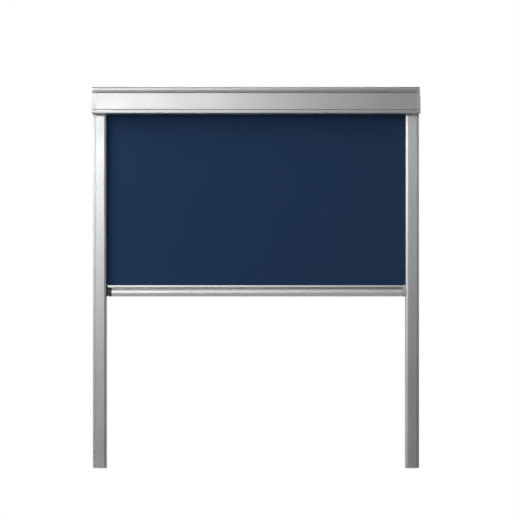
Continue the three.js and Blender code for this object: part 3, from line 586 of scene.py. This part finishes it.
# The cloth: navy threads on the room side, or the same weave under its silver coat.
def clothMaterial(name, look, placeOf):
    material, tree, shader = newMaterial(name, look)
    rate = look["threadsPerMetre"]
    weave = useEffect(tree, "weave", Place=placeOf(tree), Threads_per_Metre=rate)
    prints = useEffect(tree, "prints", Prints_per_Metre=look["printsPerMetre"])
    # The crests are painted paler and the dips darker by the weave's height: painted light and
    # shade on the threads.
    shadedWeave = mixColours(tree, weave["Height"], *tonesAround(look["colour"], look["paintedWeaveShading"]))
    dim = tone(white, 1 - look["slubShare"])
    slubs = mixColours(tree, weave["Threads"], dim, tone(white))
    join(tree, mixColours(tree, 1.0, shadedWeave, slubs, "MULTIPLY"), shader.inputs["Base Color"])
    join(tree, printedRoughness(tree, prints["Prints"], look), shader.inputs["Roughness"])
    relief(tree, shader, [(weave["Height"], *look["weaveRelief"])])
    return material


finishes = {
    "profileAlongX": extrudedAluminium("profileAlongX", "X", anodised),
    "profileAlongZ": extrudedAluminium("profileAlongZ", "Z", anodised),
    "barAlongX": extrudedAluminium("barAlongX", "X", barAluminium),
    "capPaint": grainedFinish("capPaint", capPaint),
    "charcoal": grainedFinish("charcoalMoulding", charcoalMoulding),
    "grey": grainedFinish("greyMoulding", greyMoulding),
    "white": grainedFinish("whiteMoulding", whiteMoulding),
    "zinc": grainedFinish("zincPlate", zincPlate),
    "wire": grainedFinish("oiledWire", oiledWire),
    "bronze": grainedFinish("sinteredBronze", sinteredBronze),
    "rubber": grainedFinish("brakeRubber", brakeRubber),
    "foam": grainedFinish("closedFoam", closedFoam),
    "clothFront": clothMaterial("clothFront", clothFront, hangingPlace),
    "clothBack": clothMaterial("clothBack", clothBack, hangingPlace),
    "woundFront": clothMaterial("woundFront", clothFront, woundPlace),
    "woundBack": clothMaterial("woundBack", clothBack, woundPlace),
}
finishOfNodes = {
    "profileAlongX": ["header_casing", "header_back_rail", "roller_tube"],
    "barAlongX": ["bottom_bar"],
    "profileAlongZ": ["left_channel", "right_channel"],
    "capPaint": ["left_end_cap", "right_end_cap"],
    "charcoal": ["left_bar_end"],
    "grey": [
        "right_bar_end",
        "left_channel_foot",
        "right_channel_foot",
        "spring_end_plug",
        "idle_end_plug",
    ],
    "white": ["spring_arbor", "tube_spline", "drive_hub", "hem_rod"],
    "zinc": ["left_bracket", "right_bracket", "idle_pin"],
    "bronze": ["bearing_bush"],
    "rubber": ["left_brake_shoe", "right_brake_shoe"],
}
edgeRounding = {
    "weld": 0.000001,  # corners this close are one
    "width": 0.00015,
    "segments": 2,
    "fromAngle": math.radians(34),  # shallower edges are shaded smooth instead
    "flatness": 100,  # how far the large faces keep their own normals
}


# Joins a solid piece's loose triangles at their corners and shades them smooth.
def buildWeld(look):
    tree = bpy.data.node_groups.new("weldCorners", "GeometryNodeTree")
    for way in ("INPUT", "OUTPUT"):
        tree.interface.new_socket("Geometry", in_out=way, socket_type="NodeSocketGeometry")
    bare = tree.nodes.new("GeometryNodeRemoveAttribute")
    bare.inputs["Name"].default_value = "custom_normal"
    welded = tree.nodes.new("GeometryNodeMergeByDistance")
    welded.inputs["Distance"].default_value = look["weld"]
    smooth = tree.nodes.new("GeometryNodeSetShadeSmooth")
    given, out = tree.nodes.new("NodeGroupInput"), tree.nodes.new("NodeGroupOutput")
    steps = [given, bare, welded, smooth, out]
    for before, after in zip(steps, steps[1:]):
        join(tree, before.outputs["Geometry"], after.inputs["Geometry"])
    return tree


def finishNode(piece, finish, weld, look):
    for slot in piece.material_slots:
        slot.material = finishes[finish]
    piece.modifiers.new("weldCorners", "NODES").node_group = weld
    rounding = piece.modifiers.new("roundEdges", "BEVEL")
    rounding.width = look["width"]
    rounding.segments = look["segments"]
    rounding.limit_method = "ANGLE"
    rounding.angle_limit = look["fromAngle"]
    piece.modifiers.new("flatFaces", "WEIGHTED_NORMAL").weight = look["flatness"]


weldCorners = buildWeld(edgeRounding)
for finish, names in finishOfNodes.items():
    for name in names:
        finishNode(nodes[name], finish, weldCorners, edgeRounding)
print("blind: finishes and rounded edges on the solid pieces")


def newPiece(name, mesh, materials, body, recordSlot, *replaced):
    piece = bpy.data.objects.new(name, mesh)
    scene.collection.objects.link(piece)
    for material in materials:
        mesh.materials.append(finishes[material])
    if body:
        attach(piece, body)
    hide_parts(*replaced)
    return piece


def meshOf(name, made):
    bmesh.ops.recalc_face_normals(made, faces=made.faces)
    mesh = bpy.data.meshes.new(name)
    made.to_mesh(mesh)
    made.free()
    return mesh


def smoothed(mesh, degrees):
    mesh.polygons.foreach_set("use_smooth", [True] * len(mesh.polygons))
    mesh.set_sharp_from_angle(angle=math.radians(degrees))
    return mesh


# Joins each ring of corners to the next one.
def skin(made, rings):
    for first, second in zip(rings, rings[1:]):
        for i, corner in enumerate(first):
            made.faces.new((first[i - 1], corner, second[i], second[i - 1]))


# A closed body through rings of points.
def loft(name, rings):
    made = bmesh.new()
    rows = [[made.verts.new(point) for point in ring] for ring in rings]
    skin(made, rows)
    made.faces.new(rows[0])
    made.faces.new(rows[-1])
    return meshOf(name, made)


hangingCloth = {
    "columns": 32,
    "steps": [  # half width, and the height above the bar's top that it goes down to
        (0.3113, 0.0003),
        (0.2997, -0.0037),
        (0.2915, -0.0085),
    ],
    "tolerance": 0.000001,
}


# The cloth's cells: columns of X, rows of Z, and the pairs of column and row that it fills.
def clothCells(look, barTop):
    widths = [half for half, _ in look["steps"]]
    edges = [0.0] + [barTop + rise for _, rise in look["steps"]]
    narrow = widths[-1]
    inner = [narrow * (2 * i / look["columns"] - 1) for i in range(1, look["columns"])]
    columns = sorted([-width for width in widths] + inner + widths)
    cells = set()
    for row, width in enumerate(widths):
        reach = width + look["tolerance"]
        for i, (left, right) in enumerate(zip(columns, columns[1:])):
            if -reach < left and right < reach:
                cells.add((i, row))
    return columns, edges, cells


def makeHangingCloth(look):
    low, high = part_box("cloth_panel")
    columns, edges, cells = clothCells(look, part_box("bottom_bar")[1].z)
    made = bmesh.new()
    corners = {}

    def cornerAt(column, row, y):
        key = (column, row, y)
        if key not in corners:
            corners[key] = made.verts.new((columns[column], y, edges[row]))
        return corners[key]

    for i, row in sorted(cells):
        around = [(i, row), (i, row + 1), (i + 1, row + 1), (i + 1, row)]
        beside = [(i - 1, row), (i, row + 1), (i + 1, row), (i, row - 1)]
        made.faces.new([cornerAt(*at, low.y) for at in around])
        made.faces.new([cornerAt(*at, high.y) for at in around]).material_index = 1
        for k, other in enumerate(beside):
            if other not in cells:
                a, b = around[k], around[(k + 1) % len(around)]
                rim = [(a, low.y), (b, low.y), (b, high.y), (a, high.y)]
                made.faces.new([cornerAt(*at, y) for at, y in rim])
    mesh = meshOf("hanging_cloth", made)
    sides = ["clothFront", "clothBack"]
    piece = newPiece("hanging_cloth", mesh, sides, None, "blackout_cloth", "cloth_panel")
    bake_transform(piece)
    widths = [2 * half for half, _ in look["steps"]]
    area = sum(width * (top - foot) for width, top, foot in zip(widths, edges, edges[1:]))


makeHangingCloth(hangingCloth)

woundCloth = {
    "innerRadius": 0.01265,
    "pitch": 0.0006,
    "thickness": 0.00045,
    "stepsPerTurn": 90,
    "tuckRadius": 0.0118,  # where the inner end stands in the tube's keyway
    "columns": 12,
    "sharpFrom": 40,
}


# The middle line of the wound cloth about its axis, from the keyway to the outer end at the back.
def windingLine(look, outerRadius):
    turns = (outerRadius - look["thickness"] - look["innerRadius"]) / look["pitch"]
    steps = round(turns * look["stepsPerTurn"])
    start = math.pi - 2 * math.pi * turns
    first = look["innerRadius"] + look["thickness"] / 2
    line = [(start, look["tuckRadius"])]
    for step in range(steps + 1):
        wound = turns * step / steps
        line.append((start + 2 * math.pi * wound, first + look["pitch"] * wound))
    return [Vector((radius * math.cos(angle), radius * math.sin(angle))) for angle, radius in line]


# The line moved to one side by a distance, with its corners kept square.
def besideLine(line, distance):
    moved = []
    for i, here in enumerate(line):
        into = (here - line[i - 1]).normalized() if i else (line[1] - here).normalized()
        out = (line[i + 1] - here).normalized() if i + 1 < len(line) else into
        left = Vector((-into.y - out.y, into.x + out.x))
        moved.append(here + left * distance / (1 + into.dot(out)))
    return moved


def makeWoundCloth(look):
    low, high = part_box("cloth_roll")
    spin = next(joint for joint in frame["joints"] if joint["name"] == "roller_spin")
    axis = Vector(spin["pos_m"])
    line = windingLine(look, high.y - axis.y)
    lengths = [0.0]
    for before, after in zip(line, line[1:]):
        lengths.append(lengths[-1] + (after - before).length)
    half = (high.x - low.x) / 2
    columns = [half * (2 * i / look["columns"] - 1) for i in range(look["columns"] + 1)]
    made = bmesh.new()
    place = made.loops.layers.float_vector.new("clothPlace")
    faces = []
    for side in (-1, 1):
        rows = [[made.verts.new((x, axis.y - at.x, axis.z + at.y)) for x in columns]
                for at in besideLine(line, side * look["thickness"] / 2)]
        faces.append(rows)

    def addFace(corners, coated=0):
        face = made.faces.new([faces[side][i][j] for side, i, j in corners])
        face.material_index = coated
        for loop, (_, i, j) in zip(face.loops, corners):
            loop[place] = (columns[j], lengths[i], 0)

    last, edge = len(line) - 1, len(columns) - 1
    around = ((0, 0), (1, 0), (1, 1), (0, 1))
    for i in range(last):
        for j in range(edge):
            for side in (0, 1):
                addFace([(side, i + along, j + across) for along, across in around], side)
        for j in (0, edge):
            addFace([(0, i, j), (1, i, j), (1, i + 1, j), (0, i + 1, j)])
    for i in (0, last):
        for j in range(edge):
            addFace([(0, i, j), (1, i, j), (1, i, j + 1), (0, i, j + 1)])
    mesh = smoothed(meshOf("wound_cloth", made), look["sharpFrom"])
    sides = ["woundFront", "woundBack"]
    piece = newPiece("wound_cloth", mesh, sides, "roller", "blackout_cloth", "cloth_roll")


makeWoundCloth(woundCloth)
print("blind: cloth made")

foamTape = {
    "edge": 0.00007,
    "rows": 220,
    "uneven": 0.00004,
    "sharpFrom": 40,
}


# A foam tape with soft edges that wander a little along its length.
def makeTape(name, look):
    low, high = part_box(name)
    edge = look["edge"]
    rings = []
    for row in range(look["rows"] + 1):
        z = low.z + (high.z - low.z) * row / look["rows"]
        shift = random.uniform(0, look["uneven"])
        left, right, front, back = low.x + shift, high.x - shift, low.y, high.y
        corners = [
            (left, front + edge), (left + edge, front),
            (right - edge, front), (right, front + edge),
            (right, back - edge), (right - edge, back),
            (left + edge, back), (left, back - edge),
        ]
        rings.append([(x, y, z) for x, y in corners])
    mesh = smoothed(loft(name, rings), look["sharpFrom"])
    piece = newPiece(name.replace("_tape", "_foam"), mesh, ["foam"], "frame", "foam_tape", name)


for side in ("left", "right"):
    makeTape(side + "_channel_tape", foamTape)
print("blind: foam tapes made")

capScrew = {
    "headRadius": 0.0026,
    "rimShare": 0.7,  # where the head's rounding starts, as a share of its radius
    "headHeight": 0.0018,
    "crown": 0.0005,
    "crownSteps": 6,
    "mouthDepth": 0.00005,
    "recessArms": 4,
    "recessReach": 0.0015,
    "recessHalfWidth": 0.00038,
    "recessDepth": 0.0011,
    "recessTaperShare": 0.45,
    "shankRadius": 0.0015,
    "threadDepth": 0.00035,
    "threadPitch": 0.0011,
    "threadSharpness": 1.5,
    "facets": 36,
    "stepsPerPitch": 6,
    "sharpFrom": 35,
}


# The radius of the thread's surface, which runs out towards both of its ends.
def threadRadius(look, depth, turn, endTurns):
    share = (depth / look["threadPitch"] - turn) % 1
    crest = (1 - abs(2 * share - 1)) ** look["threadSharpness"]
    rise = look["threadDepth"] * min(1.0, endTurns) * crest
    return look["shankRadius"] - look["threadDepth"] + rise


# The screw's outside, as rows of (depth, radii) from the rim of its head to its tip.
def screwRows(look, length, facing):
    facets, crown = look["facets"], look["crown"]
    rows = []
    for step in range(look["crownSteps"] + 1):
        share = math.sin(step / look["crownSteps"] * math.pi / 2)
        drop = 1 - math.sqrt(1 - share ** 2)
        radius = look["headRadius"] * (look["rimShare"] + (1 - look["rimShare"]) * share)
        rows.append((look["mouthDepth"] + (crown - look["mouthDepth"]) * drop, [radius] * facets))
    root = look["shankRadius"] - look["threadDepth"]
    rows.append((look["headHeight"], [look["headRadius"]] * facets))
    rows.append((look["headHeight"], [root] * facets))
    threadLength = length - look["headHeight"] - look["shankRadius"]
    steps = round(threadLength / look["threadPitch"] * look["stepsPerPitch"])
    for step in range(1, steps + 1):
        depth = look["headHeight"] + threadLength * step / steps
        endTurns = min(step, steps - step) / look["stepsPerPitch"]
        radii = [threadRadius(look, depth, facing * i / facets, endTurns) for i in range(facets)]
        rows.append((depth, radii))
    return rows


# A pan head screw with a cross recess and a cut thread. Its head looks outwards.
def makeScrew(name, look):
    low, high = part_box(name)
    middle = (low + high) / 2
    facing = math.copysign(1, middle.x)
    head = low.x if facing < 0 else high.x
    length = high.x - low.x
    made = bmesh.new()

    def corner(depth, radius, turn):
        angle = 2 * math.pi * turn
        across = Vector((0, math.cos(angle), math.sin(angle))) * radius
        return made.verts.new(Vector((head - facing * depth, middle.y, middle.z)) + across)

    arms, reach, half = look["recessArms"], look["recessReach"], look["recessHalfWidth"]
    cross = []
    for arm in range(arms):
        for u, v in ((reach, -half), (reach, half), (half, half)):
            turn = math.atan2(v, u) / (2 * math.pi) + arm / arms
            cross.append((math.hypot(u, v), turn))
    mouth = [corner(look["mouthDepth"], radius, turn) for radius, turn in cross]
    taper = look["recessTaperShare"]
    floor = [corner(look["recessDepth"], radius * taper, turn) for radius, turn in cross]
    skin(made, [mouth, floor])
    made.faces.new(floor)
    facets = look["facets"]
    outside = [[corner(depth, radius, i / facets) for i, radius in enumerate(radii)]
               for depth, radii in screwRows(look, length, facing)]
    skin(made, outside)
    loose = [edge for edge in made.edges if len(edge.link_faces) == 1]
    onFace = [edge for edge in loose if edge.verts[0] in mouth or edge.verts[0] in outside[0]]
    bmesh.ops.triangle_fill(made, use_beauty=True, use_dissolve=False, edges=onFace)
    tip = corner(length, 0, 0)
    for i, end in enumerate(outside[-1]):
        made.faces.new((outside[-1][i - 1], end, tip))
    mesh = smoothed(meshOf(name, made), look["sharpFrom"])
    newPiece(name.replace("_cap_", "_crosshead_"), mesh, ["zinc"], "frame", "zinc_steel", name)


for side in ("left", "right"):
    for level in ("lower", "upper"):
        makeScrew(side + "_cap_screw_" + level, capScrew)
print("blind: screws made")

rollerSpring = {"wire": 0.0007, "turns": 96, "stepsPerTurn": 14, "sides": 8, "closedTurns": 2.5}
brakeSpring = {"wire": 0.0003, "turns": 6, "stepsPerTurn": 20, "sides": 8, "closedTurns": 0.9}
springFinish = {"closedGapShare": 1.04, "sharpFrom": 60}


# How far along the spring its wire is after a number of turns. Its end turns lie close together.
def coilPlace(wound, look, length):
    turns, ends = look["turns"], look["closedTurns"]
    closedPitch = 2 * look["wire"] * springFinish["closedGapShare"]
    if wound < ends:
        return closedPitch * wound
    if wound > turns - ends:
        return length - closedPitch * (turns - wound)
    openLength = length - 2 * closedPitch * ends
    return closedPitch * ends + openLength * (wound - ends) / (turns - 2 * ends)


def makeSpring(name, body, look):
    low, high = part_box(name)
    middle = (low + high) / 2
    wire = look["wire"]
    radius = (high.y - low.y) / 2 - wire
    length = high.x - low.x - 2 * wire
    steps = round(look["turns"] * look["stepsPerTurn"])
    rings = []
    for step in range(steps + 1):
        wound = look["turns"] * step / steps
        angle = 2 * math.pi * wound
        outward = Vector((0, math.cos(angle), math.sin(angle)))
        along = low.x + wire + coilPlace(wound, look, length)
        centre = Vector((along, middle.y, middle.z)) + outward * radius
        ring = []
        for i in range(look["sides"]):
            turn = 2 * math.pi * i / look["sides"]
            across = outward * math.cos(turn) + Vector((math.sin(turn), 0, 0))
            ring.append(centre + wire * across)
        rings.append(ring)
    mesh = smoothed(loft(name, rings), springFinish["sharpFrom"])
    newPiece(name.replace("spring", "coil"), mesh, ["wire"], body, "spring_steel", name)


makeSpring("roller_spring", "roller", rollerSpring)
for side in ("left", "right"):
    makeSpring(side + "_brake_spring", "bar", brakeSpring)
print("blind: springs made")

studio = {
    "floorHeight": -1.25,
    "floorSize": 80.0,
    "floorColour": (0.55, 0.55, 0.55),
    "floorLift": 0.42,  # what the camera sees besides the floor's own light
    "whiteFrom": 1.4,  # how far from the blind, or behind it, the floor starts to turn white
    "whiteTo": 3.0,
    "roomLevel": 0.048,
    "backLevel": 0.9,  # straight behind the blind
    "backFrom": 0.75,  # share of a ray's direction that points backwards
    "backTo": 0.95,
}
lamps = {
    "keyLamp": {"place": (-0.55, -2.5, 0.24), "aim": (0, 0, -0.3), "size": 0.4, "power": 12.7},
    "leftPanel": {"place": (-2.45, -1.5, 0.6), "aim": (0, 0, -0.3), "size": 1.6, "power": 57},
    "highLeftPanel": {"place": (-1.0, -1.6, 1.6), "aim": (0, 0, -0.3), "size": 0.8, "power": 5.0},
    "topPanel": {"place": (0, -0.6, 1.2), "aim": (0, 0, -0.3), "size": 0.8, "power": 3.0},
    "rightLamp": {"place": (0.9, -1.2, 0.3), "aim": (0, 0, -0.3), "size": 0.5, "power": 0.8},
    "rightPanel": {"place": (3.0, 0.9, 0.3), "aim": (0, 0, -0.3), "size": 1.2, "power": 18},
    "rearPanel": {"place": (0, 2.5, 1.5), "aim": (0, 0, -0.35), "size": 1.6, "power": 34},
}


# Where the white backdrop is seen: by the camera around the blind, and by rays that a piece
# reflects or lets through only behind the blind.
def backdropSeen(tree, around, behind):
    path = addNode(tree, "LightPath").outputs
    bent = maths(tree, "MAXIMUM", path["Is Glossy Ray"], path["Is Transmission Ray"])
    direct = maths(tree, "MULTIPLY", path["Is Camera Ray"], around)
    return maths(tree, "MAXIMUM", direct, maths(tree, "MULTIPLY", bent, behind))


# A plain matt floor that holds the shadow and turns white further away.
def makeFloor(look):
    half = look["floorSize"] / 2
    mesh = bpy.data.meshes.new("floor")
    corners = [(-half, -half), (half, -half), (half, half), (-half, half)]
    mesh.from_pydata([(x, y, 0) for x, y in corners], [], [(0, 1, 2, 3)])
    floor = bpy.data.objects.new("floor", mesh)
    floor.location.z = look["floorHeight"]
    scene.collection.objects.link(floor)
    material = bpy.data.materials.new("paleFloor")
    material.use_nodes = True
    tree = material.node_tree
    tree.nodes.clear()
    matt = addNode(tree, "BsdfDiffuse")
    matt.inputs["Color"].default_value = tone(look["floorColour"])
    lift = addNode(tree, "Emission")
    near = addNode(tree, "AddShader")
    far = addNode(tree, "Emission")
    mixed = addNode(tree, "MixShader")
    output = addNode(tree, "OutputMaterial")
    place = objectPlace(tree)
    distance = vectorMaths(tree, "LENGTH", place)
    around = spread(tree, distance, look["whiteFrom"], look["whiteTo"])
    behind = spread(tree, partsOf(tree, place)["Y"], look["whiteFrom"], look["whiteTo"])
    camera = addNode(tree, "LightPath").outputs["Is Camera Ray"]
    join(tree, maths(tree, "MULTIPLY", camera, look["floorLift"]), lift.inputs["Strength"])
    for i, part in enumerate((matt, lift)):
        join(tree, part.outputs[0], near.inputs[i])
    join(tree, backdropSeen(tree, around, behind), mixed.inputs["Fac"])
    for i, part in enumerate((near, far), start=1):
        join(tree, part.outputs[0], mixed.inputs[i])
    join(tree, mixed.outputs["Shader"], output.inputs["Surface"])
    mesh.materials.append(material)


# White where the backdrop is seen, and otherwise a dim room with a pale wall behind the blind.
def makeWorld(look):
    world = bpy.data.worlds.new("studio")
    scene.world = world
    world.use_nodes = True
    tree = world.node_tree
    parts = partsOf(tree, addNode(tree, "TexCoord").outputs["Generated"])
    behind = spread(tree, parts["Y"], look["backFrom"], look["backTo"])
    rise = look["backLevel"] - look["roomLevel"]
    room = maths(tree, "MULTIPLY_ADD", behind, rise, look["roomLevel"])
    backdrop = backdropSeen(tree, around=1.0, behind=behind)
    background = tree.nodes["Background"]
    background.inputs["Color"].default_value = tone(white)
    join(tree, maths(tree, "MAXIMUM", room, backdrop), background.inputs["Strength"])


def makeLamp(name, look):
    data = bpy.data.lights.new(name, "AREA")
    data.shape = "SQUARE"
    data.size = look["size"]
    data.energy = look["power"]
    lamp = bpy.data.objects.new(name, data)
    lamp.location = look["place"]
    towards = Vector(look["aim"]) - Vector(look["place"])
    lamp.rotation_euler = towards.to_track_quat("-Z", "Y").to_euler()
    scene.collection.objects.link(lamp)


makeFloor(studio)
makeWorld(studio)
for name, look in lamps.items():
    makeLamp(name, look)
print("blind: stage and light set")
